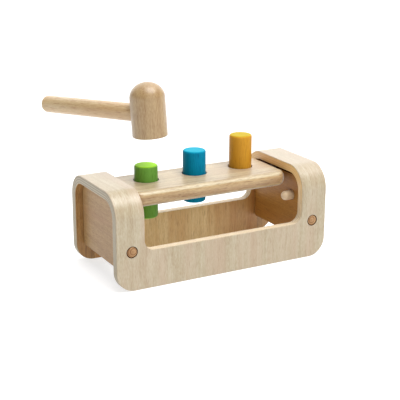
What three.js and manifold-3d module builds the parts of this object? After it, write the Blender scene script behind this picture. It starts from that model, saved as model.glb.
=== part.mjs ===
// Toy workbench: a bent plywood bench that carries a turning pounding bar with three pegs,
// and a loose wooden mallet held above the first peg.
//
// Millimetres, +Z up. X runs along the bench and +Y points to its back. The origin is at the middle
// of the front panel's lower edge, where the bench stands on the table.

import * as THREE from 'three';
import { mergeVertices } from 'three/addons/utils/BufferGeometryUtils.js';
import Module from 'manifold-3d';

const wasm = await Module();
wasm.setup();

// ---- Driving dimensions ----------------------------------------------------------------------

const GAP = 0.3;                     // air left between pieces that touch

// Bent plywood shell: an upside-down U, open at both ends and underneath
const LENGTH = 250;
const DEPTH = 114;
const HEIGHT = 100.5;
const PLY = 9;
const BEND_RADIUS = 26;              // outer radius of the two bends
const FOOT_CORNER_RADIUS = 20;       // lower outer corners of the front and back panels
const WINDOW_HALF_LENGTH = 94;
const RAIL_HEIGHT = 40.5;            // top of the low front and back rails
const WINDOW_CORNER_RADIUS = 11;

// End panels, set in from the shell's open ends
const PANEL_RECESS = 8;
const PANEL_THICKNESS = 18;
const PANEL_BOTTOM = 18.7;
const PANEL_CORNER_RADIUS = 4;
const PANEL_INNER_X = LENGTH / 2 - PANEL_RECESS - PANEL_THICKNESS;

// Dowels that pin the shell to the end panels
const FRAME_DOWEL_RADIUS = 5.8;
const FRAME_DOWEL_LENGTH = 34;
const FRAME_DOWEL_EDGE = 0.5;
const FRAME_DOWEL_HEIGHT = 41.3;

// Pounding bar
const BAR_HALF_LENGTH = 91.7;
const BAR_WIDTH = 74;
const BAR_THICKNESS = 16;
const BAR_EDGE_RADIUS = 6.5;
const BAR_CORNER_RADIUS = 11;        // seen from above
const BAR_CENTRE_Y = 6;              // behind the middle of the bench
const BAR_CENTRE_Z = 84.3;

// Pivots of the bar
const PIVOT_RADIUS = 4;
const PIVOT_DEPTH_IN_BAR = 16;
const PIVOT_DEPTH_IN_PANEL = 12;
const WASHER_RADIUS = 6.8;

// Round-nosed pegs on the inner faces of the end panels
const STOP_RADIUS = 5.2;
const STOP_REACH = 12.6;             // how far the nose stands out of the panel
const STOP_DEPTH_IN_PANEL = 12;
const STOP_Y = -28.3;
const STOP_Z = 64.3;

// Pegs and the rubber rings that grip them
const PEG_RADIUS = 12.5;
const PEG_LENGTH = 57;
const PEG_EDGE = 2.4;
const PEG_SPACING = 57.9;
const PEG_LINE_Y = 13.7;
const PEG_TOPS = { green: 108.6, blue: 117.9, yellow: 128.4 };
const HOLE_RADIUS = 13.6;
const RING_OUTER_RADIUS = 15.6;
const RING_HEIGHT = 4.4;

// Mallet
const HEAD_RADIUS = 18.6;
const HEAD_HEIGHT = 57;
const HEAD_DOME_HEIGHT = 16;
const HEAD_RIM_EDGE = 1.8;
const HANDLE_RADIUS = 9.5;
const HANDLE_REACH = 138.6;           // from the side of the head to the free end
const HANDLE_SOCKET_DEPTH = 24;
const HANDLE_END_EDGE = 4.8;
const HANDLE_HEIGHT_ON_HEAD = 23.7;
const MALLET_POSITION = [-56, 6.2, 140.2];    // middle of the striking face
const MALLET_YAW = 111.5;            // direction of the handle seen from above, degrees from +X
const MALLET_PITCH = 3.8;            // how far the free end dips
const MALLET_ROLL = -1.3;

const CIRCLE_STEPS = 32;             // sides of a large round piece
const DOWEL_STEPS = 20;
const EDGE_STEPS = 3;                // sides of a rounded edge

// ---- Solids ----------------------------------------------------------------------------------

const Z_UP = new THREE.Matrix4().makeRotationX(Math.PI / 2);          // a lathe's axis is Y
const SHAPE_TO_YZ = new THREE.Matrix4().makeBasis(
  new THREE.Vector3(0, 1, 0), new THREE.Vector3(0, 0, 1), new THREE.Vector3(1, 0, 0));
const SHAPE_TO_XZ = new THREE.Matrix4().makeBasis(
  new THREE.Vector3(1, 0, 0), new THREE.Vector3(0, 0, 1), new THREE.Vector3(0, -1, 0));

function toSolid(geometry) {
  geometry.deleteAttribute('normal');
  geometry.deleteAttribute('uv');
  const merged = mergeVertices(geometry);
  const index = merged.index.array;
  const triangles = [];
  for (let i = 0; i < index.length; i += 3) {
    const [a, b, c] = index.slice(i, i + 3);
    if (a !== b && b !== c && c !== a) triangles.push(a, b, c);
  }
  return new wasm.Manifold(new wasm.Mesh({
    numProp: 3,
    vertProperties: new Float32Array(merged.attributes.position.array),
    triVerts: new Uint32Array(triangles),
  }));
}

function toGeometry(solid) {
  const { vertProperties, triVerts } = solid.getMesh();
  const geometry = new THREE.BufferGeometry();
  geometry.setAttribute('position', new THREE.BufferAttribute(new Float32Array(vertProperties), 3));
  geometry.setIndex(new THREE.BufferAttribute(new Uint32Array(triVerts), 1));
  geometry.computeVertexNormals();
  return geometry;
}

function extrude(shape, length, curveSegments = 7) {
  return new THREE.ExtrudeGeometry(shape, { depth: length, bevelEnabled: false, curveSegments });
}

// A shape drawn in (y, z), from x = from to x = to
function alongX(shape, from, to) {
  return toSolid(extrude(shape, to - from).applyMatrix4(SHAPE_TO_YZ).translate(from, 0, 0));
}

// A shape drawn in (x, z), from y = from to y = to
function alongY(shape, from, to) {
  return toSolid(extrude(shape, to - from).applyMatrix4(SHAPE_TO_XZ).translate(0, to, 0));
}

// A shape drawn in (x, y), from z = from to z = to
function alongZ(shape, from, to) {
  return toSolid(extrude(shape, to - from).translate(0, 0, from));
}

// A rectangle with a radius of its own at each corner: [low left, low right, top right, top left]
function roundedRectangle(left, bottom, right, top, radii) {
  const [lowLeft, lowRight, topRight, topLeft] = radii;
  const shape = new THREE.Shape();
  shape.moveTo(left + lowLeft, bottom);
  shape.lineTo(right - lowRight, bottom);
  if (lowRight) shape.absarc(right - lowRight, bottom + lowRight, lowRight, -Math.PI / 2, 0);
  shape.lineTo(right, top - topRight);
  if (topRight) shape.absarc(right - topRight, top - topRight, topRight, 0, Math.PI / 2);
  shape.lineTo(left + topLeft, top);
  if (topLeft) shape.absarc(left + topLeft, top - topLeft, topLeft, Math.PI / 2, Math.PI);
  shape.lineTo(left, bottom + lowLeft);
  if (lowLeft) shape.absarc(left + lowLeft, bottom + lowLeft, lowLeft, Math.PI, 1.5 * Math.PI);
  return shape;
}

// Points of a quarter ellipse from one angle to another, for a lathe profile
function arcPoints(centreRadius, centreHeight, radiusAcross, radiusUp, from, to) {
  const points = [];
  for (let i = 0; i <= EDGE_STEPS; i += 1) {
    const angle = from + ((to - from) * i) / EDGE_STEPS;
    points.push(new THREE.Vector2(
      centreRadius + radiusAcross * Math.cos(angle), centreHeight + radiusUp * Math.sin(angle)));
  }
  return points;
}

// A round bar standing on z = 0 with rounded edges at its two ends; an edge of 0 is sharp
function roundBar(radius, length, lowEdge, topEdge, steps, topRise = topEdge) {
  const low = lowEdge
    ? arcPoints(radius - lowEdge, lowEdge, lowEdge, lowEdge, -Math.PI / 2, 0)
    : [new THREE.Vector2(radius, 0)];
  const top = topEdge
    ? arcPoints(radius - topEdge, length - topRise, topEdge, topRise, 0, Math.PI / 2)
    : [new THREE.Vector2(radius, length)];
  const profile = [new THREE.Vector2(0, 0), ...low, ...top];
  if (topEdge < radius) profile.push(new THREE.Vector2(0, length));
  else profile[profile.length - 1].x = 0;
  return toSolid(new THREE.LatheGeometry(profile, steps).applyMatrix4(Z_UP));
}

function mesh(name, solid, material) {
  const part = new THREE.Mesh(toGeometry(solid), material);
  part.name = name;
  return part;
}

function finish(color, roughness) {
  return new THREE.MeshStandardMaterial({ color, roughness, metalness: 0 });
}

// ---- Shell -----------------------------------------------------------------------------------

const DOWEL_X = PANEL_INNER_X + PANEL_THICKNESS / 2;
const SIDES = [['left', -1], ['right', 1]];
const FACES = [['front', -1], ['back', 1]];

// Outline of the arch, drawn in (y, z), at a distance inside the outer face
function archOutline(inset, bottom, lowCorner = 0) {
  const half = DEPTH / 2 - inset;
  const bend = BEND_RADIUS - inset;
  return roundedRectangle(-half, bottom, half, HEIGHT - inset, [lowCorner, lowCorner, bend, bend]);
}

function buildShell() {
  const outer = alongX(archOutline(0, 0), -LENGTH / 2, LENGTH / 2);
  const inner = alongX(archOutline(PLY, -PLY), -LENGTH, LENGTH);
  const sideView = alongY(
    roundedRectangle(-LENGTH / 2, 0, LENGTH / 2, 2 * HEIGHT, [FOOT_CORNER_RADIUS, FOOT_CORNER_RADIUS, 0, 0]),
    -DEPTH, DEPTH);
  const window = alongY(
    roundedRectangle(-WINDOW_HALF_LENGTH, RAIL_HEIGHT, WINDOW_HALF_LENGTH, 2 * HEIGHT,
      [WINDOW_CORNER_RADIUS, WINDOW_CORNER_RADIUS, 0, 0]),
    -DEPTH, DEPTH);
  let shell = outer.subtract(inner).intersect(sideView).subtract(window);
  for (const [, side] of SIDES) {
    for (const [, face] of FACES) shell = shell.subtract(frameDowel(side, face, GAP));
  }
  return mesh('plywood_shell', shell, finish(0xd6c5a8, 0.6));
}

// ---- Dowels ----------------------------------------------------------------------------------

// One dowel through the shell into the edge of an end panel, or its hole when clearance is given
function frameDowel(side, face, clearance = 0) {
  const overrun = clearance ? PLY : 0;
  const edge = clearance ? 0 : FRAME_DOWEL_EDGE;
  return roundBar(FRAME_DOWEL_RADIUS + clearance, FRAME_DOWEL_LENGTH + clearance + overrun, 0, edge, DOWEL_STEPS)
    .rotate([-90 * face, 0, 0])
    .translate([side * DOWEL_X, face * (DEPTH / 2 - FRAME_DOWEL_LENGTH - clearance), FRAME_DOWEL_HEIGHT]);
}

// The pin that the bar turns on, or its hole
function pivotDowel(side, clearance = 0) {
  const innerEnd = BAR_HALF_LENGTH - PIVOT_DEPTH_IN_BAR - clearance;
  const outerEnd = PANEL_INNER_X + PIVOT_DEPTH_IN_PANEL + clearance;
  return roundBar(PIVOT_RADIUS + clearance, outerEnd - innerEnd, 0, 0, DOWEL_STEPS)
    .rotate([0, 90 * side, 0])
    .translate([side * innerEnd, BAR_CENTRE_Y, BAR_CENTRE_Z]);
}

// A round-nosed peg in the inner face of an end panel, or its hole
function stopDowel(side, clearance = 0) {
  const length = STOP_REACH + STOP_DEPTH_IN_PANEL + clearance;
  return roundBar(STOP_RADIUS + clearance, length, 0, clearance ? 0 : STOP_RADIUS, DOWEL_STEPS)
    .rotate([0, -90 * side, 0])
    .translate([side * (PANEL_INNER_X + STOP_DEPTH_IN_PANEL + clearance), STOP_Y, STOP_Z]);
}

// ---- End panels ------------------------------------------------------------------------------

function buildEndPanel(name, side) {
  const faces = [side * PANEL_INNER_X, side * (PANEL_INNER_X + PANEL_THICKNESS)].sort((a, b) => a - b);
  let panel = alongX(archOutline(PLY + GAP, PANEL_BOTTOM, PANEL_CORNER_RADIUS), ...faces);
  for (const [, face] of FACES) panel = panel.subtract(frameDowel(side, face, GAP));
  panel = panel.subtract(pivotDowel(side, GAP)).subtract(stopDowel(side, GAP));
  return mesh(`${name}_end_panel`, panel, finish(0xa88f73, 0.65));
}

// ---- Pounding bar ----------------------------------------------------------------------------

const PEGS = Object.entries(PEG_TOPS).map(([colour, top], i) => ({ colour, top, x: (i - 1) * PEG_SPACING }));

function buildBar() {
  const [front, back] = [BAR_CENTRE_Y - BAR_WIDTH / 2, BAR_CENTRE_Y + BAR_WIDTH / 2];
  const [bottom, top] = [BAR_CENTRE_Z - BAR_THICKNESS / 2, BAR_CENTRE_Z + BAR_THICKNESS / 2];
  const section = alongX(
    roundedRectangle(front, bottom, back, top, Array(4).fill(BAR_EDGE_RADIUS)), -BAR_HALF_LENGTH, BAR_HALF_LENGTH);
  const plan = alongZ(
    roundedRectangle(-BAR_HALF_LENGTH, front, BAR_HALF_LENGTH, back, Array(4).fill(BAR_CORNER_RADIUS)),
    bottom - 1, top + 1);
  let bar = section.intersect(plan);
  const hole = roundBar(HOLE_RADIUS, 2 * BAR_THICKNESS, 0, 0, CIRCLE_STEPS);
  const groove = roundBar(RING_OUTER_RADIUS + GAP, RING_HEIGHT + 2 * GAP, 0, 0, CIRCLE_STEPS);
  for (const { x } of PEGS) {
    bar = bar
      .subtract(hole.translate([x, PEG_LINE_Y, BAR_CENTRE_Z - BAR_THICKNESS]))
      .subtract(groove.translate([x, PEG_LINE_Y, BAR_CENTRE_Z - RING_HEIGHT / 2 - GAP]));
  }
  for (const [, side] of SIDES) bar = bar.subtract(pivotDowel(side, GAP));
  return mesh('pounding_bar', bar, finish(0xdfcfb2, 0.6));
}

// The rubber ring in the groove round a peg
function buildRing({ colour, x }) {
  const ring = roundBar(RING_OUTER_RADIUS, RING_HEIGHT, 0, 0, CIRCLE_STEPS)
    .subtract(roundBar(PEG_RADIUS + GAP, 3 * RING_HEIGHT, 0, 0, CIRCLE_STEPS).translate([0, 0, -RING_HEIGHT]))
    .translate([x, PEG_LINE_Y, BAR_CENTRE_Z - RING_HEIGHT / 2]);
  return mesh(`${colour}_peg_grip_ring`, ring, finish(0x2b2724, 0.9));
}

// The washer on a pivot, between the bar's end and the end panel
function buildWasher(name, side) {
  const thickness = PANEL_INNER_X - BAR_HALF_LENGTH - 2 * GAP;
  const washer = roundBar(WASHER_RADIUS, thickness, 0, 0, DOWEL_STEPS)
    .subtract(roundBar(PIVOT_RADIUS + GAP, 3 * thickness, 0, 0, DOWEL_STEPS).translate([0, 0, -thickness]))
    .rotate([0, 90 * side, 0])
    .translate([side * (BAR_HALF_LENGTH + GAP), BAR_CENTRE_Y, BAR_CENTRE_Z]);
  return mesh(`${name}_pivot_washer`, washer, finish(0x463426, 0.7));
}

const PEG_COLOURS = { green: 0x5a9a32, blue: 0x1292b8, yellow: 0xd9a02e };

function buildPeg({ colour, top, x }) {
  const peg = roundBar(PEG_RADIUS, PEG_LENGTH, PEG_EDGE, PEG_EDGE, CIRCLE_STEPS)
    .translate([x, PEG_LINE_Y, top - PEG_LENGTH]);
  return mesh(`${colour}_peg`, peg, finish(PEG_COLOURS[colour], 0.5));
}

// ---- Mallet ----------------------------------------------------------------------------------

// Built standing on its striking face with the handle along +X, then turned as one group
function buildMallet() {
  const handleStart = HEAD_RADIUS - HANDLE_SOCKET_DEPTH;
  const handleLength = HANDLE_SOCKET_DEPTH + HANDLE_REACH;
  const alongHandle = (solid, start) => solid.rotate([0, 90, 0]).translate([start, 0, HANDLE_HEIGHT_ON_HEAD]);

  const socket = alongHandle(
    roundBar(HANDLE_RADIUS + GAP, handleLength, 0, 0, DOWEL_STEPS), handleStart - GAP);
  const head = roundBar(HEAD_RADIUS, HEAD_HEIGHT, HEAD_RIM_EDGE, HEAD_RADIUS, CIRCLE_STEPS, HEAD_DOME_HEIGHT)
    .subtract(socket);
  const handle = alongHandle(
    roundBar(HANDLE_RADIUS, handleLength, 0, HANDLE_END_EDGE, DOWEL_STEPS), handleStart);

  const mallet = new THREE.Group();
  mallet.add(mesh('mallet_head', head, finish(0xc7a983, 0.6)));
  mallet.add(mesh('mallet_handle', handle, finish(0xcfb68c, 0.6)));
  const radians = THREE.MathUtils.degToRad;
  mallet.rotation.set(radians(MALLET_ROLL), radians(MALLET_PITCH), radians(MALLET_YAW), 'ZYX');
  mallet.position.set(...MALLET_POSITION);
  return mallet;
}

// ---- Assembly --------------------------------------------------------------------------------

const workbench = new THREE.Group();
workbench.position.y = (DEPTH - PLY) / 2;        // from the bench's middle to the front panel's middle
workbench.add(buildShell());
for (const [name, side] of SIDES) {
  workbench.add(buildEndPanel(name, side));
  workbench.add(mesh(`${name}_pivot_dowel`, pivotDowel(side), finish(0xc9ab80, 0.6)));
  workbench.add(mesh(`${name}_stop_dowel`, stopDowel(side), finish(0xd9bf98, 0.6)));
  workbench.add(buildWasher(name, side));
  for (const [faceName, face] of FACES) {
    workbench.add(mesh(`${faceName}_${name}_dowel`, frameDowel(side, face), finish(0xa38362, 0.6)));
  }
}
workbench.add(buildBar());
for (const peg of PEGS) {
  workbench.add(buildRing(peg));
  workbench.add(buildPeg(peg));
}
workbench.add(buildMallet());

const part = new THREE.Group();
part.add(workbench);

export default part;
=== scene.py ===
import math

import bmesh
import bpy
from mathutils import Euler, Matrix, Vector


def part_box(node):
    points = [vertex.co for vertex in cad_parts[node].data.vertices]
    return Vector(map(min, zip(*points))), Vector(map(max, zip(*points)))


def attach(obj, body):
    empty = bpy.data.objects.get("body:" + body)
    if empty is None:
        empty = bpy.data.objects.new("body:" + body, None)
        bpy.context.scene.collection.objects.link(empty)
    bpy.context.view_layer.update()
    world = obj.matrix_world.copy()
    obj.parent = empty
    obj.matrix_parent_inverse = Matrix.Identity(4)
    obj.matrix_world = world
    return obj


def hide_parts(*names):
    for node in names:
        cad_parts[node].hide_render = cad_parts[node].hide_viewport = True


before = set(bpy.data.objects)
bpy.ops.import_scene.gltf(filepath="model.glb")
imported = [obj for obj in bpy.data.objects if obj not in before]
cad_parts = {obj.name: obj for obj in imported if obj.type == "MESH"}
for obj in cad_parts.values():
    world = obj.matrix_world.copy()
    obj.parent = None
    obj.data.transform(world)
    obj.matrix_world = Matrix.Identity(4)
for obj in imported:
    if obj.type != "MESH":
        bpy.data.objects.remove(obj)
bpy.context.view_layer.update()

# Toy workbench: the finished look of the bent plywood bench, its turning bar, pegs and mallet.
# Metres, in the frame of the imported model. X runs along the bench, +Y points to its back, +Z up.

# ---- Sizes that the frame's boxes don't give ---------------------------------------------------

PLY = 0.009                     # thickness of the bent shell
BEND_RADIUS = 0.026             # outer radius of its bends
FOOT_CORNER = 0.020             # lower outer corners of its front and back panels
WINDOW_HALF_LENGTH = 0.094
RAIL_HEIGHT = 0.0405            # top of the front and back rails
WINDOW_CORNER = 0.011
SHELL_EDGE = 0.0008             # how far the shell's edges are eased
SHEET_MIDDLE = 0.1463           # halfway from the front edge to the back one, over the bends

PANEL_CORNER = 0.004
PANEL_EDGE = 0.0018
UNDER_PANEL = 0.0045            # below it, the sheet's painted end shade starts this far inside its middle
SLOT_SHADE = 0.0036             # height of the strip of painted shade behind the bar's end, at the panel's top
POCKET_DEPTH = 0.012            # how deep the stop and pivot dowels sit in the panel

BAR_CORNER = 0.011
BAR_EDGE = 0.0065               # rounding of the bar's long edges
BAR_END_EDGE = 0.0042           # how far the same rounding reaches in at the bar's ends
HOLE_RADIUS = 0.0136
HOLE_EDGE = 0.0007
GROOVE_DEPTH = 0.0023
GROOVE_HALF_HEIGHT = 0.0025
GRIP_BORE = 0.0128              # inner radius of the grip rings

PEG_EDGE = 0.0024
DOWEL_EDGE = 0.0005
DOWEL_CLEARANCE = 0.0003
FRAME_DOWEL_EDGE = 0.0016       # rounding of the dowel ends that show on the front and back panels
WASHER_BORE = 0.0043
WASHER_EDGE = 0.0006

MALLET_TURN = (math.radians(-1.3), math.radians(3.8), math.radians(111.5))
MALLET_HEAD_RADIUS = 0.0186
MALLET_HEAD_HEIGHT = 0.05695
MALLET_DOME_HEIGHT = 0.016
MALLET_RIM_EDGE = 0.0018
MALLET_HANDLE_RADIUS = 0.0095
MALLET_HANDLE_LENGTH = 0.1626   # with the stretch inside the head
MALLET_HANDLE_END = 0.0048

SUPPORT = 0.0003                # flat strip that keeps a face's shading flat up to its rounded edge
LEAST_CORNER = 0.0002
CORE, CORE_EDGE = 0.02, 0.03    # least radius of a rod's flat end and of its edge, as shares of the rod's own
WELD = 1e-7
SHARP_ANGLE = math.radians(48)

EDGE_STEPS = 6
CORNER_STEPS = 16
PANEL_CORNER_STEPS = 14
BEND_STEPS = 28
ROUND_STEPS = 64
SMALL_STEPS = 48
PIN_STEPS = 40
GRIP_STEPS = 20
WASHER_EDGE_STEPS = 4

# how much of a face's normal has to point along an axis
FACES_OUT = 0.35                # for the shell's eased edges to go with its outer face
FACES_UP = 0.6                  # for the bar's rounded edges to go with its top and underside
FACES_END = 0.75                # for a dowel's rounded end to go with its end grain
FACES_FLAT = 0.8                # for a face to be one of the flat ones

SIDES = {"left": -1, "right": 1}
FACES = {"front": -1, "back": 1}
COLOURS = ("green", "blue", "yellow")


# ---- Outlines and profiles ---------------------------------------------------------------------

def arc(centre, radius, start, end, steps):
    """Points of an arc, in degrees, both ends included."""
    points = []
    for i in range(steps + 1):
        angle = math.radians(start + (end - start) * i / steps)
        points.append((centre[0] + radius * math.cos(angle), centre[1] + radius * math.sin(angle)))
    return points


def rounded_rectangle(low, high, radii, inset=0.0, steps=CORNER_STEPS):
    """Outline with corner radii (low left, low right, top right, top left), shrunk by inset."""
    left, bottom, right, top = low[0] + inset, low[1] + inset, high[0] - inset, high[1] - inset
    low_left, low_right, top_right, top_left = (max(r - inset, LEAST_CORNER) for r in radii)
    return (arc((left + low_left, bottom + low_left), low_left, 180, 270, steps)
            + arc((right - low_right, bottom + low_right), low_right, 270, 360, steps)
            + arc((right - top_right, top - top_right), top_right, 0, 90, steps)
            + arc((left + top_left, top - top_left), top_left, 90, 180, steps))


def circle(centre, radius, steps=ROUND_STEPS):
    return arc(centre, radius, 0, 360, steps)[:-1]


def edge_profile(radius):
    """(inset, depth) pairs that round an edge, from the flat face over to the side."""
    pairs = [(radius + SUPPORT, 0.0), (radius, 0.0)]
    for i in range(1, EDGE_STEPS + 1):
        angle = math.pi / 2 * i / EDGE_STEPS
        pairs.append((radius * (1 - math.sin(angle)), radius * (1 - math.cos(angle))))
    return pairs


def through_profile(radius, thickness):
    """An edge that is rounded at both faces of a plate."""
    top = edge_profile(radius)
    return top + [(inset, thickness - depth) for inset, depth in reversed(top)]


# ---- Meshes ------------------------------------------------------------------------------------

def add_rings(mesh, rings):
    """Closed rings of points joined by quads; returns the rings of vertices."""
    made = [[mesh.verts.new(p) for p in ring] for ring in rings]
    for ring, following in zip(made, made[1:]):
        for i, vertex in enumerate(ring):
            j = (i + 1) % len(ring)
            mesh.faces.new((vertex, ring[j], following[j], following[i]))
    return made


def cut(mesh, point, normal):
    """Adds edges along a plane, so that faces on its two sides can differ."""
    bmesh.ops.bisect_plane(mesh, geom=[*mesh.verts, *mesh.edges, *mesh.faces], dist=WELD, plane_co=point,
                           plane_no=normal)


def ring_edges(mesh, ring):
    return [mesh.edges.get((v, ring[(i + 1) % len(ring)])) for i, v in enumerate(ring)]


def plate(outer, holes=(), pockets=()):
    """A flat plate whose top face is at z = 0.

    Each boundary is (outline, profile): outline(offset) gives the points of the boundary moved into
    the material by offset, and profile is a list of (offset, depth). A pocket is closed at its end.
    """
    mesh = bmesh.new()
    top_edges, bottom_edges = [], []
    for kind, boundaries in (("through", [outer, *holes]), ("pocket", pockets)):
        for outline, profile in boundaries:
            rings = add_rings(mesh, [[(x, y, -depth) for x, y in outline(offset)] for offset, depth in profile])
            top_edges += ring_edges(mesh, rings[0])
            if kind == "through":
                bottom_edges += ring_edges(mesh, rings[-1])
            else:
                mesh.faces.new(rings[-1])
    for edges in (top_edges, bottom_edges):
        bmesh.ops.triangle_fill(mesh, use_beauty=True, use_dissolve=False, edges=edges)
    bmesh.ops.recalc_face_normals(mesh, faces=mesh.faces)
    return mesh


def turned(profile, steps=ROUND_STEPS):
    """A piece turned about Z from (radius, height) pairs, with a flat face at each end."""
    mesh = bmesh.new()
    rings = add_rings(mesh, [[(*p, height) for p in circle((0, 0), radius, steps)] for radius, height in profile])
    mesh.faces.new(rings[0])
    mesh.faces.new(rings[-1])
    bmesh.ops.recalc_face_normals(mesh, faces=mesh.faces)
    return mesh


def turned_ring(profile, steps=ROUND_STEPS):
    """A ring turned about Z from a closed list of (radius, height) pairs."""
    mesh = bmesh.new()
    closed = [*profile, profile[0]]
    add_rings(mesh, [[(*p, height) for p in circle((0, 0), radius, steps)] for radius, height in closed])
    bmesh.ops.remove_doubles(mesh, verts=mesh.verts, dist=WELD)
    bmesh.ops.recalc_face_normals(mesh, faces=mesh.faces)
    return mesh


def rod_profile(radius, length, low_edge, top_edge, top_rise=None):
    """A rod from height 0 to length. Its end edges are round, or a quarter ellipse where a rise is given."""
    pairs = []
    for edge, rise, sign in ((low_edge, low_edge, 1), (top_edge, top_rise or top_edge, -1)):
        end = 0.0 if sign > 0 else length
        side = [(max(radius - edge - SUPPORT, radius * CORE), end), (max(radius - edge, radius * CORE_EDGE), end)]
        for i in range(1, 2 * EDGE_STEPS + 1):
            angle = math.pi / 2 * i / (2 * EDGE_STEPS)
            across = radius - edge * (1 - math.sin(angle))
            side.append((across, end + sign * rise * (1 - math.cos(angle))))
        pairs += side if sign > 0 else reversed(side)
    return pairs


# ---- Pieces ------------------------------------------------------------------------------------

def store_grain(mesh, grain, offset):
    """Keeps what the wood materials read: each point's place along, across and through the grain, and
    how squarely its surface cuts the grain."""
    place = mesh.verts.layers.float_vector.new("grain")
    end = mesh.verts.layers.float.new("end")
    mesh.normal_update()
    for vertex in mesh.verts:
        vertex[place] = Vector([vertex.co[axis] for axis in grain]) + Vector(offset)
        vertex[end] = max(0.0, abs(vertex.normal[grain[0]]) - 0.5) * 2


def piece(name, mesh, body, node, materials, place=Matrix.Identity(4), grain=(2, 0, 1), offset=(0, 0, 0)):
    """Makes the object, stores its grain, puts it in place and has it stand for its CAD node."""
    if grain:
        store_grain(mesh, grain, offset)
    mesh.transform(place)
    if place.determinant() < 0:
        bmesh.ops.reverse_faces(mesh, faces=mesh.faces)
    data = bpy.data.meshes.new(name)
    mesh.to_mesh(data)
    mesh.free()
    for polygon in data.polygons:
        polygon.use_smooth = True
    data.set_sharp_from_angle(angle=SHARP_ANGLE)
    for material in materials:
        data.materials.append(material)
    made = bpy.data.objects.new(name, data)
    bpy.context.scene.collection.objects.link(made)
    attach(made, body)
    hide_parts(node)


def centre_and_size(node):
    low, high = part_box(node)
    return (low + high) / 2, high - low


def basis(x_axis, y_axis, z_axis, origin):
    """The matrix that lays a piece's own axes along the given ones."""
    return Matrix.Translation(origin) @ Matrix((x_axis, y_axis, z_axis)).transposed().to_4x4()


def rod_place(node, axis, sign):
    """Lays a rod that is built from z = 0 up along the frame's axis, from the far end of its node."""
    centre, size = centre_and_size(node)
    direction = Vector((0, 0, 0))
    direction[axis] = sign
    side = Vector((0, 0, 1))
    return basis(side.cross(direction), side, direction, centre - direction * size[axis] / 2)


# ---- Bench -------------------------------------------------------------------------------------

def bend_point(x, run, depth, low, high):
    """Where a point of the flat blank lies on the bent shell.

    run is the distance from the front edge over the outer face, and depth the distance under it.
    """
    straight = high.z - low.z - BEND_RADIUS
    quarter = BEND_RADIUS * math.pi / 2
    flat_top = high.y - low.y - 2 * BEND_RADIUS
    radius = BEND_RADIUS - depth
    bend_z = high.z - BEND_RADIUS
    front_y, back_y = low.y + BEND_RADIUS, high.y - BEND_RADIUS
    if run <= straight:
        return Vector((x, low.y + depth, low.z + run))
    run -= straight
    if run <= quarter:
        angle = run / BEND_RADIUS
        return Vector((x, front_y - radius * math.cos(angle), bend_z + radius * math.sin(angle)))
    run -= quarter
    if run <= flat_top:
        return Vector((x, front_y + run, high.z - depth))
    run -= flat_top
    if run <= quarter:
        angle = run / BEND_RADIUS
        return Vector((x, back_y + radius * math.sin(angle), bend_z + radius * math.cos(angle)))
    return Vector((x, high.y - depth, bend_z - (run - quarter)))


SHELL_OUTSIDE, SHELL_RIM, SHELL_INSIDE, SHELL_RECESS_SHADE, SHELL_WINDOW, SHELL_SEAM = range(6)


def build_shell(materials):
    """A flat sheet with its window, corners and dowel holes, then bent over the end panels."""
    low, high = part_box("plywood_shell")
    half = (high.x - low.x) / 2
    straight = high.z - low.z - BEND_RADIUS
    quarter = BEND_RADIUS * math.pi / 2
    total = 2 * (straight + quarter) + high.y - low.y - 2 * BEND_RADIUS

    panel_middle, panel_bottom = centre_and_size("right_end_panel")[0].x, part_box("right_end_panel")[0].z
    edge = through_profile(SHELL_EDGE, PLY)
    outer = (lambda inset: rounded_rectangle((-half, 0), (half, total), [FOOT_CORNER] * 4, inset), edge)
    window = (lambda grow: rounded_rectangle((-WINDOW_HALF_LENGTH, RAIL_HEIGHT),
                                             (WINDOW_HALF_LENGTH, total - RAIL_HEIGHT),
                                             [WINDOW_CORNER] * 4, -grow), edge)
    holes = [window]
    dowel_spots = []
    for side in SIDES:
        centre, size = centre_and_size(f"front_{side}_dowel")
        for run in (centre.z, total - centre.z):
            spot, radius = (centre.x, run), size.x / 2 + DOWEL_CLEARANCE
            dowel_spots.append((Vector(spot), radius + DOWEL_EDGE))
            holes.append((lambda grow, spot=spot, radius=radius: circle(spot, radius + grow),
                          through_profile(DOWEL_EDGE, PLY)))
    blank = plate(outer, holes)

    for start in (straight, total - straight - quarter):
        for i in range(BEND_STEPS + 1):
            cut(blank, (0, start + quarter * i / BEND_STEPS, 0), (0, 1, 0))
    for x in (panel_middle, panel_middle - UNDER_PANEL):
        for side in SIDES.values():
            cut(blank, (side * x, 0, 0), (1, 0, 0))
    for run in (panel_bottom, total - panel_bottom):
        cut(blank, (0, run, 0), (0, 1, 0))
    for face in blank.faces:
        face.normal_update()
        centre = face.calc_center_median()
        if face.normal.z > FACES_OUT:
            face.material_index = SHELL_OUTSIDE
        elif any((centre.xy - spot).length < reach for spot, reach in dowel_spots):
            face.material_index = SHELL_SEAM
        # the inner face beyond the end panels, and a little inside them below the panels, takes a darker copy of the
        # inner veneer: painted shade of the recesses
        elif face.normal.z < -FACES_FLAT:
            under = not panel_bottom < centre.y < total - panel_bottom
            open_to_end = abs(centre.x) > panel_middle - (UNDER_PANEL if under else 0)
            face.material_index = SHELL_RECESS_SHADE if open_to_end else SHELL_INSIDE
        elif abs(centre.x) < panel_middle and RAIL_HEIGHT / 2 < centre.y < total - RAIL_HEIGHT / 2:
            face.material_index = SHELL_WINDOW
        else:
            face.material_index = SHELL_RIM
    store_grain(blank, (1, 0, 2), (0, 0, 0))
    for vertex in blank.verts:
        x, run, height = vertex.co
        vertex.co = bend_point(x, run, -height, low, high)
    bmesh.ops.recalc_face_normals(blank, faces=blank.faces)
    piece("bent_shell", blank, "bench", "plywood_shell", materials, grain=None)


PANEL_OUTSIDE, PANEL_INSIDE, PANEL_SEAM_AND_SHADE = range(3)


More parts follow.
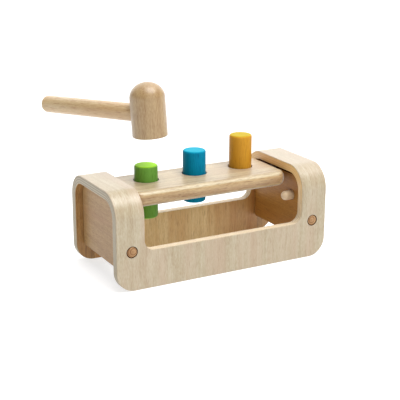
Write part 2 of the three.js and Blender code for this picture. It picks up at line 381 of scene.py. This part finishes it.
def build_end_panel(name, side, materials):
    """Drawn in (y, z) seen from the middle of the bench, with its inner face on top."""
    low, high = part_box(f"{name}_end_panel")
    thickness = high.x - low.x
    top_corner = BEND_RADIUS - PLY
    # seen from inside, the outline's first axis runs along -y on the right and +y on the left
    flip = -side
    spans = sorted((flip * low.y, flip * high.y))
    outline = lambda inset: rounded_rectangle((spans[0], low.z), (spans[1], high.z),
                                              [PANEL_CORNER, PANEL_CORNER, top_corner, top_corner], inset,
                                              PANEL_CORNER_STEPS)
    pockets = []
    for dowel in ("stop", "pivot"):
        centre, size = centre_and_size(f"{name}_{dowel}_dowel")
        spot, radius = (flip * centre.y, centre.z), size.y / 2 + DOWEL_CLEARANCE
        profile = edge_profile(DOWEL_EDGE) + [(0.0, POCKET_DEPTH)]
        pockets.append((lambda grow, spot=spot, radius=radius: circle(spot, radius + grow, PIN_STEPS), profile))
    mesh = plate((outline, through_profile(PANEL_EDGE, thickness)), pockets=pockets)
    # the strip at the panel's top behind the bar's end takes the dark joint material as painted shade of the narrow
    # slot there
    bar_low, bar_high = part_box("pounding_bar")
    slot_middle, slot_half = flip * (bar_low.y + bar_high.y) / 2, (bar_high.y - bar_low.y) / 2
    slot_bottom = high.z - SLOT_SHADE
    for point, normal in (((0, slot_bottom, 0), (0, 1, 0)), ((slot_middle - slot_half, 0, 0), (1, 0, 0)),
                          ((slot_middle + slot_half, 0, 0), (1, 0, 0))):
        cut(mesh, point, normal)
    for face in mesh.faces:
        face.normal_update()
        centre = face.calc_center_median()
        in_slot = centre.y > slot_bottom and abs(centre.x - slot_middle) < slot_half
        if face.normal.z > FACES_FLAT and not in_slot:
            face.material_index = PANEL_INSIDE
        else:
            face.material_index = PANEL_OUTSIDE if face.normal.z < -FACES_FLAT else PANEL_SEAM_AND_SHADE
    inner_x = low.x if side > 0 else high.x
    place = basis(Vector((0, flip, 0)), Vector((0, 0, 1)), Vector((-side, 0, 0)), Vector((inner_x, 0, 0)))
    piece(f"{name}_panel", mesh, "bench", f"{name}_end_panel", materials,
          place, grain=(0, 1, 2), offset=(0.3 * side, 0.02, 0.055))


DOWEL_RIM, DOWEL_END = range(2)


def build_dowels(rim, end_grain, side_grain):
    for side_name, side in SIDES.items():
        for face_name, face in FACES.items():
            node = f"{face_name}_{side_name}_dowel"
            centre, size = centre_and_size(node)
            mesh = turned(rod_profile(size.x / 2, size.y, DOWEL_EDGE, FRAME_DOWEL_EDGE), SMALL_STEPS)
            for polygon in mesh.faces:
                polygon.normal_update()
                polygon.material_index = DOWEL_END if polygon.normal.z > FACES_END else DOWEL_RIM
            piece(f"{node}_pin", mesh, "bench", node, [rim, end_grain], rod_place(node, 1, face),
                  offset=(0, 0.001 * side, 0.0006 * face))
        node = f"{side_name}_stop_dowel"
        centre, size = centre_and_size(node)
        mesh = turned(rod_profile(size.y / 2, size.x, DOWEL_EDGE, size.y / 2), SMALL_STEPS)
        piece(f"{side_name}_stop", mesh, "bench", node, [side_grain], rod_place(node, 0, -side),
              offset=(0, 0.006, 0.004))
        node = f"{side_name}_pivot_dowel"
        centre, size = centre_and_size(node)
        mesh = turned(rod_profile(size.y / 2, size.x, DOWEL_EDGE, DOWEL_EDGE), PIN_STEPS)
        piece(f"{side_name}_pivot", mesh, "bench", node, [side_grain], rod_place(node, 0, side),
              offset=(0, 0.005, 0.003))


def build_washers(material):
    for name, side in SIDES.items():
        node = f"{name}_pivot_washer"
        centre, size = centre_and_size(node)
        outer, inner, half = size.y / 2 - WASHER_EDGE, WASHER_BORE + WASHER_EDGE, size.x / 2 - WASHER_EDGE
        corners = ((outer, half), (inner, half), (inner, -half), (outer, -half))
        profile = [point for i, corner in enumerate(corners)
                   for point in arc(corner, WASHER_EDGE, 90 * i, 90 * (i + 1), WASHER_EDGE_STEPS)]
        place = basis(Vector((0, 1, 0)), Vector((0, 0, 1)), Vector((1, 0, 0)), centre)
        mesh = turned_ring(profile, SMALL_STEPS)
        piece(f"{name}_washer", mesh, "bench", node, [material], place, grain=None)


# ---- Bar and pegs ------------------------------------------------------------------------------

BAR_TOP, BAR_SIDE_SHADED = range(2)


def build_bar(materials):
    low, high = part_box("pounding_bar")
    thickness = high.z - low.z
    end_share = BAR_END_EDGE / BAR_EDGE

    def outline(inset):
        ends, sides = inset * end_share, inset
        return rounded_rectangle((low.x + ends, low.y + sides), (high.x - ends, high.y - sides),
                                 [BAR_CORNER - 0.5 * (ends + sides)] * 4)

    middle = thickness / 2
    mouth = edge_profile(HOLE_EDGE)
    lip = [(0.0, middle - GROOVE_HALF_HEIGHT), (GROOVE_DEPTH, middle - GROOVE_HALF_HEIGHT)]
    upper = mouth + lip
    hole_profile = upper + [(grow, thickness - depth) for grow, depth in reversed(upper)]
    holes = []
    for colour in COLOURS:
        centre, _ = centre_and_size(f"{colour}_peg")
        holes.append((lambda grow, x=centre.x, y=centre.y: circle((x, y), HOLE_RADIUS + grow), hole_profile))
    mesh = plate((outline, through_profile(BAR_EDGE, thickness)), holes)
    for face in mesh.faces:
        face.normal_update()
        # the sides, ends and hole walls take the darker copy of the bar's wood: painted shade away from the top light
        face.material_index = BAR_TOP if abs(face.normal.z) > FACES_UP else BAR_SIDE_SHADED
    piece("bar", mesh, "bar", "pounding_bar", materials,
          Matrix.Translation((0, 0, high.z)), grain=(0, 1, 2), offset=(0.1, -0.085, 0.12))


def build_rings(material):
    for colour in COLOURS:
        node = f"{colour}_peg_grip_ring"
        centre, size = centre_and_size(node)
        outer, inner, half = size.x / 2, GRIP_BORE, size.z / 2
        middle, reach = (outer + inner) / 2, (outer - inner) / 2
        profile = [(middle + reach * math.cos(a), half * math.sin(a))
                   for a in (2 * math.pi * i / GRIP_STEPS for i in range(GRIP_STEPS))]
        piece(f"{colour}_grip", turned_ring(profile), "bar", node, [material],
              Matrix.Translation(centre), grain=None)


def build_pegs(materials):
    for i, colour in enumerate(COLOURS):
        node = f"{colour}_peg"
        centre, size = centre_and_size(node)
        mesh = turned(rod_profile(size.x / 2, size.z, PEG_EDGE, PEG_EDGE))
        # each peg is cut from another stretch of wood
        piece(f"{colour}_pounding_peg", mesh, node, node, [materials[colour]],
              Matrix.Translation(centre - Vector((0, 0, size.z / 2))),
              offset=(0.2 * i, 0.01 + 0.004 * i, 0.012 - 0.02 * i))


# ---- Mallet ------------------------------------------------------------------------------------

def build_mallet(head_material, handle_material):
    """Both pieces are built along their own axis, turned together, and moved onto their nodes."""
    turn = Euler(MALLET_TURN, "XYZ").to_matrix()
    head_profile = rod_profile(MALLET_HEAD_RADIUS, MALLET_HEAD_HEIGHT, MALLET_RIM_EDGE, MALLET_HEAD_RADIUS,
                               top_rise=MALLET_DOME_HEIGHT)
    handle_profile = rod_profile(MALLET_HANDLE_RADIUS, MALLET_HANDLE_LENGTH, DOWEL_EDGE, MALLET_HANDLE_END)
    along_handle = Matrix(((0, 0, 1), (0, 1, 0), (-1, 0, 0)))
    pieces = (("mallet_head", head_profile, turn, head_material, (0, 0.012, 0.02)),
              ("mallet_handle", handle_profile, turn @ along_handle, handle_material, (0.4, 0.006, 0.014)))
    for node, profile, rotation, material, offset in pieces:
        mesh = turned(profile)
        low = [min((rotation @ v.co)[i] for v in mesh.verts) for i in range(3)]
        high = [max((rotation @ v.co)[i] for v in mesh.verts) for i in range(3)]
        centre, _ = centre_and_size(node)
        shift = centre - (Vector(low) + Vector(high)) / 2
        piece(f"{node}_turned", mesh, "mallet", node, [material],
              Matrix.Translation(shift) @ rotation.to_4x4(), offset=offset)


# ---- Materials ---------------------------------------------------------------------------------

def add_node(tree, kind, *inputs, output=0, **settings):
    """Adds a node, fills its first inputs with sockets or values, and returns one of its outputs."""
    made = tree.nodes.new(kind)
    for key, value in settings.items():
        setattr(made, key, value)
    for socket, value in zip(made.inputs, inputs):
        if isinstance(value, bpy.types.NodeSocket):
            tree.links.new(value, socket)
        elif value is not None:
            socket.default_value = value
    return made.outputs[output]


def math_node(tree, operation, *inputs, clamp=False):
    return add_node(tree, "ShaderNodeMath", *inputs, operation=operation, use_clamp=clamp)


def mix_colours(tree, share, first, second, kind="MIX"):
    return add_node(tree, "ShaderNodeMixRGB", share, first, second, blend_type=kind)


def grain_place(tree):
    """Where a point lies along, across and through the grain."""
    return add_node(tree, "ShaderNodeAttribute", output=1, attribute_name="grain")


def stretched_noise(tree, coordinates, stretch, detail=2.0):
    """Noise with so many cells per metre along, across and through the grain."""
    scaled = add_node(tree, "ShaderNodeVectorMath", coordinates, stretch, operation="MULTIPLY")
    return add_node(tree, "ShaderNodeTexNoise", scaled, None, 1.0, detail, 0.55)


def spread(tree, value, low, high, to_low=0.0, to_high=1.0):
    return add_node(tree, "ShaderNodeMapRange", value, low, high, to_low, to_high)


RING_WANDER = 3.4               # how far the growth rings stray, in rings
CLOUD_SHARE = 0.22
TONE_MIDDLE = 0.61              # where the mean of the mixed figure lies
RELIEF_STRENGTH, RELIEF_DEPTH = 0.3, 0.0001
COAT_ROUGHNESS = 0.3
SHEEN_ROUGHNESS = 0.4
ALONG, ACROSS, THROUGH = range(3)   # the grain's own axes
PLIES = 7
PLY_EDGE = 0.4                  # softness of the line between two plies
LAYER_SHARE = 0.7               # how dark the darker plies get

WOOD_INPUTS = (("Light", "Color"), ("Dark", "Color"), ("Blush", "Color"), ("Pore", "Color"), ("End", "Color"),
               ("Pith", "Vector"), ("Rings", "Float"), ("Ring share", "Float"), ("Contrast", "Float"),
               ("Blush share", "Float"), ("Pore share", "Float"), ("End share", "Float"))


def make_wood_group():
    """Growth rings round a pith, soft zones, long streaks, fine fibre and short pores, all along the grain."""
    tree = bpy.data.node_groups.new("wood_grain", "ShaderNodeTree")
    for name, kind in WOOD_INPUTS:
        tree.interface.new_socket(name, in_out="INPUT", socket_type=f"NodeSocket{kind}")
    for name, kind in (("Colour", "Color"), ("Roughness", "Float"), ("Height", "Float")):
        tree.interface.new_socket(name, in_out="OUTPUT", socket_type=f"NodeSocket{kind}")
    given = tree.nodes.new("NodeGroupInput").outputs
    result = tree.nodes.new("NodeGroupOutput").inputs
    grain = grain_place(tree)
    end = add_node(tree, "ShaderNodeAttribute", output=2, attribute_name="end")

    wander = stretched_noise(tree, grain, (10.0, 26.0, 26.0))
    from_pith = add_node(tree, "ShaderNodeVectorMath", grain, given["Pith"], operation="SUBTRACT")
    across = add_node(tree, "ShaderNodeVectorMath", from_pith, (0.0, 1.0, 1.0), operation="MULTIPLY")
    radius = add_node(tree, "ShaderNodeVectorMath", across, output=1, operation="LENGTH")
    turns = math_node(tree, "MULTIPLY_ADD", wander, RING_WANDER, math_node(tree, "MULTIPLY", radius, given["Rings"]))
    rings = add_node(tree, "ShaderNodeTexNoise", None, turns, 1.0, 2.0, 0.5, noise_dimensions="1D")

    streaks = stretched_noise(tree, grain, (18.0, 420.0, 420.0), 3.0)
    fibre = stretched_noise(tree, grain, (260.0, 1200.0, 1200.0), 2.0)
    zones = stretched_noise(tree, grain, (5.0, 45.0, 45.0))
    cloud = stretched_noise(tree, grain, (40.0, 75.0, 75.0), 3.0)
    pores = stretched_noise(tree, grain, (90.0, 1300.0, 1300.0), 1.0)

    lines = math_node(tree, "MULTIPLY_ADD", fibre, 0.6, math_node(tree, "MULTIPLY", streaks, 0.4))
    tone = add_node(tree, "ShaderNodeMix", given["Ring share"], None, lines, rings)
    tone = math_node(tree, "MULTIPLY_ADD", cloud, CLOUD_SHARE, math_node(tree, "SUBTRACT", tone, TONE_MIDDLE))
    tone = math_node(tree, "MULTIPLY_ADD", tone, given["Contrast"], 0.5, clamp=True)
    colour = mix_colours(tree, tone, given["Light"], given["Dark"])
    blush = math_node(tree, "MULTIPLY", spread(tree, zones, 0.42, 0.62), given["Blush share"])
    colour = mix_colours(tree, blush, colour, given["Blush"])
    pore = math_node(tree, "MULTIPLY", spread(tree, pores, 0.58, 0.7), given["Pore share"])
    colour = mix_colours(tree, pore, colour, given["Pore"])
    colour = mix_colours(tree, math_node(tree, "MULTIPLY", end, given["End share"]), colour, given["End"])

    roughness = math_node(tree, "MULTIPLY_ADD", lines, 0.2, 0.3)
    tree.links.new(colour, result["Colour"])
    tree.links.new(math_node(tree, "MULTIPLY_ADD", end, 0.15, roughness), result["Roughness"])
    tree.links.new(math_node(tree, "MULTIPLY_ADD", pore, -1.0, lines), result["Height"])
    return tree


def new_material(name):
    material = bpy.data.materials.new(name)
    material.use_nodes = True
    tree = material.node_tree
    shader = tree.nodes["Principled BSDF"]
    return material, tree, shader


def srgb(red, green, blue):
    """A colour given as it looks on screen, in the linear values that a shader takes."""
    linear = [c / 12.92 if c <= 0.04045 else ((c + 0.055) / 1.055) ** 2.4 for c in (red / 255, green / 255, blue / 255)]
    return (*linear, 1.0)


def wood(name, group, light, dark, blush=None, pore=(120, 88, 58), end=None, pith=(0, 0.01, 0.04), rings=260,
         ring_share=0.45, contrast=1.6, blush_share=0.5, pore_share=0.45, end_share=0.5, specular=0.5, coat=0.2,
         sheen=0.25, layers=None, crown=None, shade=None):
    """A lacquered wood. layers is the colour of every second ply, for the cut edge of plywood. crown
    is (colour, middle, near, far, share): painted warm shade, the colour it takes round the middle of
    its length. shade is (tint, near, far): painted shade, the tint it takes towards its two sides."""
    material, tree, shader = new_material(name)
    grain = tree.nodes.new("ShaderNodeGroup")
    grain.node_tree = group
    values = (srgb(*light), srgb(*dark), srgb(*(blush or dark)), srgb(*pore), srgb(*(end or dark)), pith, rings,
              ring_share, contrast, blush_share, pore_share, end_share)
    for (key, _), value in zip(WOOD_INPUTS, values):
        grain.inputs[key].default_value = value
    colour = grain.outputs["Colour"]
    if layers:
        colour = ply_layers(tree, colour, srgb(*layers))
    # crown is painted shade: a warmer tone round the middle of the length
    if crown:
        colour = mix_colours(tree, share_near(tree, ALONG, *crown[1:]), colour, srgb(*crown[0]))
    # painted shade: the colour darkens across the grain, away from its middle
    if shade:
        share = share_near(tree, ACROSS, 0.0, *shade[1:], 1.0)
        colour = mix_colours(tree, share, colour, srgb(*shade[0]), "MULTIPLY")
    tree.links.new(colour, shader.inputs["Base Color"])
    tree.links.new(grain.outputs["Roughness"], shader.inputs["Roughness"])
    relief = tree.nodes.new("ShaderNodeBump")
    relief.inputs["Strength"].default_value = RELIEF_STRENGTH
    relief.inputs["Distance"].default_value = RELIEF_DEPTH
    tree.links.new(grain.outputs["Height"], relief.inputs["Height"])
    tree.links.new(relief.outputs["Normal"], shader.inputs["Normal"])
    shader.inputs["Specular IOR Level"].default_value = specular
    shader.inputs["Coat Weight"].default_value = coat
    shader.inputs["Coat Roughness"].default_value = COAT_ROUGHNESS
    shader.inputs["Sheen Weight"].default_value = sheen
    shader.inputs["Sheen Roughness"].default_value = SHEEN_ROUGHNESS
    return material


def share_near(tree, axis, middle, near, far, share):
    """The given share from the middle to near, falling to nothing at far."""
    place = add_node(tree, "ShaderNodeSeparateXYZ", grain_place(tree), output=axis)
    distance = math_node(tree, "ABSOLUTE", math_node(tree, "SUBTRACT", place, middle))
    return spread(tree, distance, near, far, share, 0.0)


def ply_layers(tree, colour, dark):
    """The plies through the sheet: every second one shows its darker end grain."""
    depth = add_node(tree, "ShaderNodeSeparateXYZ", grain_place(tree), output=THROUGH)
    wave = math_node(tree, "SINE", math_node(tree, "MULTIPLY", depth, PLIES * math.pi / PLY))
    return mix_colours(tree, spread(tree, wave, -PLY_EDGE, PLY_EDGE, 0.0, LAYER_SHARE), colour, dark)


def plain(name, colour, roughness):
    """A smooth moulded surface with a faint mottle."""
    material, tree, shader = new_material(name)
    place = add_node(tree, "ShaderNodeTexCoord", output=3)
    mottle = add_node(tree, "ShaderNodeTexNoise", place, None, 900.0, 3.0, 0.5)
    mixed = mix_colours(tree, 1.0, srgb(*colour), spread(tree, mottle, 0.3, 0.7, 0.85, 1.1), "MULTIPLY")
    tree.links.new(mixed, shader.inputs["Base Color"])
    shader.inputs["Roughness"].default_value = roughness
    return material


# ---- Setting -----------------------------------------------------------------------------------

CAMERA_AZIMUTH = math.radians(28.88)
CAMERA_ELEVATION = math.radians(17.13)
CAMERA_DISTANCE = 1.0961
CAMERA_LENS = 91.36
CAMERA_ROLL = math.radians(0.22)
CAMERA_AIM_LEFT = 0.0002        # what it looks at: this far left of the bench's middle
CAMERA_AIM_HEIGHT = 0.06467
SENSOR = 36.0

SKY_STRENGTH = 0.25
# name, where it shines from, width in degrees, strength
LAMPS = (("overhead_softbox", (0.2, -0.27, 1.0), 46, 4.1),
         ("low_front_softbox", (0.0, -1.0, 0.3), 50, 0.62),
         ("back_softbox", (0.46, 0.84, 0.5), 90, 2.4))
FLOOR_SIZE = 12
FLOOR_GAP = 0.0002
FLOOR_SHADE = 0.45
FLOOR_GLOW = 0.7                # keeps the floor white, with only a faint shadow


def build_camera():
    low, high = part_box("plywood_shell")
    target = Vector(((low.x + high.x) / 2 - CAMERA_AIM_LEFT, (low.y + high.y) / 2, CAMERA_AIM_HEIGHT))
    back = Vector((-math.sin(CAMERA_AZIMUTH) * math.cos(CAMERA_ELEVATION),
                   -math.cos(CAMERA_AZIMUTH) * math.cos(CAMERA_ELEVATION), math.sin(CAMERA_ELEVATION)))
    data = bpy.data.cameras.new("camera")
    data.lens = CAMERA_LENS
    data.sensor_width = SENSOR
    data.clip_end = 50
    camera = bpy.data.objects.new("camera", data)
    camera.location = target + back * CAMERA_DISTANCE
    roll = Matrix.Rotation(CAMERA_ROLL, 3, "Z")
    camera.rotation_euler = (back.to_track_quat("Z", "Y").to_matrix() @ roll).to_euler()
    bpy.context.scene.collection.objects.link(camera)
    bpy.context.scene.camera = camera


def build_setting():
    mesh = bmesh.new()
    bmesh.ops.create_grid(mesh, x_segments=1, y_segments=1, size=FLOOR_SIZE)
    data = bpy.data.meshes.new("floor")
    mesh.to_mesh(data)
    mesh.free()
    floor = bpy.data.objects.new("floor", data)
    floor.location.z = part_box("plywood_shell")[0].z - FLOOR_GAP
    bpy.context.scene.collection.objects.link(floor)
    material, _, shader = new_material("pale_floor")
    shader.inputs["Base Color"].default_value = (FLOOR_SHADE, FLOOR_SHADE, FLOOR_SHADE, 1)
    shader.inputs["Roughness"].default_value = 0.9
    shader.inputs["Specular IOR Level"].default_value = 0.0
    shader.inputs["Emission Color"].default_value = (1, 1, 1, 1)
    shader.inputs["Emission Strength"].default_value = FLOOR_GLOW
    data.materials.append(material)

    world = bpy.data.worlds.new("studio")
    world.use_nodes = True
    sky = world.node_tree.nodes["Background"].inputs
    sky["Color"].default_value = (1, 1, 1, 1)
    seen = add_node(world.node_tree, "ShaderNodeLightPath")   # the empty background looks as white as the floor
    world.node_tree.links.new(math_node(world.node_tree, "MULTIPLY_ADD", seen, 1.0 - SKY_STRENGTH, SKY_STRENGTH),
                              sky["Strength"])
    bpy.context.scene.world = world
    bpy.context.scene.view_settings.view_transform = "Standard"

    for name, direction, angle, strength in LAMPS:
        data = bpy.data.lights.new(name, "SUN")
        data.angle = math.radians(angle)
        data.energy = strength
        light = bpy.data.objects.new(name, data)
        light.rotation_euler = Vector(direction).to_track_quat("Z", "Y").to_euler()
        bpy.context.scene.collection.objects.link(light)


# ---- Assembly ----------------------------------------------------------------------------------

def build_object():
    group = make_wood_group()
    veneer = wood("veneer", group, (182, 172, 148), (153, 134, 103), (175, 151, 128), pith=(0, -0.03, -0.12),
                  rings=300, ring_share=0.25, contrast=3.0, blush_share=0.5, pore_share=0.35, sheen=0.4)
    # painted shade: the inner veneer darkens towards the bench's two ends, where the end panels shade it
    inner_veneer = wood("inner_veneer", group, (224, 200, 148), (189, 152, 94), (193, 147, 89), pore=(130, 84, 44),
                        pith=(0, -0.03, -0.06), rings=300, ring_share=0.3, contrast=2.4, pore_share=0.4, coat=0.0,
                        sheen=0.0, shade=((220, 190, 155), 0.096, 0.04))
    # painted shade: a darker copy of the inner veneer, for the sheet's inner face in the recesses at its ends
    recess_shade = wood("recess_painted_shade", group, (188, 146, 90), (132, 92, 46), (148, 102, 54), contrast=3.2, coat=0.0,
                  sheen=0.0)
    rim = wood("ply_rim", group, (174, 162, 132), (154, 140, 108), end_share=0.0, layers=(104, 88, 62), sheen=0.0)
    # the window edge takes a warmer colour round the top of the window, where it faces down: painted warm shade
    window = wood("ply_window_edge", group, (226, 213, 188), (206, 189, 160), end_share=0.0, layers=(176, 152, 120),
                  crown=((245, 196, 115), SHEET_MIDDLE, 0.05, 0.105, 0.65), coat=0.0, sheen=0.0)
    # dark joint lines round the end panels and dowels; the same dark wood is also the painted shade of the slot behind
    # the bar's end
    seam_and_slot_shade = wood("dark_joint_and_painted_shade", group, (84, 48, 24), (60, 34, 16), specular=0.0, coat=0.0, sheen=0.0)
    panel = wood("panel_wood", group, (176, 144, 98), (144, 109, 68), (162, 122, 84), pith=(0, 0.0, 0.16),
                 ring_share=0.2, contrast=2.8, pore_share=0.5, specular=0.3, coat=0.0, sheen=0.0)
    panel_inside = wood("panel_inside_wood", group, (194, 142, 66), (134, 84, 30), (154, 98, 40), pore=(84, 50, 18),
                        pith=(0, 0.0, 0.16), ring_share=0.15, contrast=1.9, pore_share=0.3, specular=0.3, coat=0.0,
                        sheen=0.0)
    bar = wood("bar_wood", group, (186, 171, 136), (138, 111, 71), (166, 137, 99), pore=(104, 72, 42),
               pith=(0, 0.02, 0.07), contrast=3.2, pore_share=0.65, end_share=0.0, sheen=0.45)
    # painted shade: a darker copy of the bar's wood for its sides, which the top light leaves in shade; its ends take a
    # darker end colour still
    bar_side_shaded = wood("bar_side_painted_shade", group, (181, 155, 114), (132, 99, 57), (162, 122, 82), pore=(102, 70, 40),
                    end=(84, 54, 30), end_share=1.0, pith=(0, 0.02, 0.07), contrast=3.2, pore_share=0.65, sheen=0.45)
    dowel = wood("dowel_end_grain", group, (196, 158, 114), (116, 78, 46), end=(150, 110, 72), pith=(0, 0, 0),
                 rings=900, ring_share=0.8, contrast=4.0, end_share=0.1, specular=0.2, coat=0.0, sheen=0.0)
    stop = wood("dowel_wood", group, (226, 205, 176), (200, 172, 134), end_share=0.0)
    head = wood("mallet_head_wood", group, (174, 149, 106), (140, 108, 68), (160, 126, 84), pore=(124, 84, 48),
                pith=(0, 0.03, 0.05), ring_share=0.15, contrast=2.8, pore_share=0.6, specular=0.6, coat=0.3,
                end_share=0.0)
    handle = wood("mallet_handle_wood", group, (198, 178, 138), (160, 128, 84), (190, 151, 104), pore=(138, 92, 48),
                  contrast=3.0, pore_share=0.7, end_share=0.0)
    # each peg's end colour is partly its stained end grain and partly painted light on its lit top
    stains_and_lit_tops = {
        "green": wood("green_stain_and_top_light", group, (112, 164, 66), (88, 136, 50), pore=(40, 70, 20), end=(168, 236, 38),
                      end_share=1.0, specular=0.12, coat=0.0, sheen=0.0),
        "blue": wood("blue_stain_and_top_light", group, (0, 132, 164), (0, 106, 140), pore=(0, 70, 100), end=(26, 152, 176),
                     end_share=1.0, specular=0.05, coat=0.0, sheen=0.0),
        "yellow": wood("yellow_stain_and_top_light", group, (202, 150, 46), (182, 124, 32), pore=(140, 84, 16), end=(176, 152, 18),
                       end_share=1.0, specular=0.1, coat=0.0, sheen=0.0),
    }
    rubber = plain("grip_rubber", (44, 40, 37), 0.8)
    # the washers are real parts; their dark brown is painted shade of the narrow gap behind the bar's ends
    fibre = plain("washer_dark_painted_shade", (70, 52, 38), 0.7)

    build_shell([veneer, rim, inner_veneer, recess_shade, window, seam_and_slot_shade])
    for name, side in SIDES.items():
        build_end_panel(name, side, [panel, panel_inside, seam_and_slot_shade])
    build_dowels(seam_and_slot_shade, dowel, stop)
    build_washers(fibre)
    build_bar([bar, bar_side_shaded])
    build_rings(rubber)
    build_pegs(stains_and_lit_tops)
    build_mallet(head, handle)


build_camera()
build_setting()
build_object()
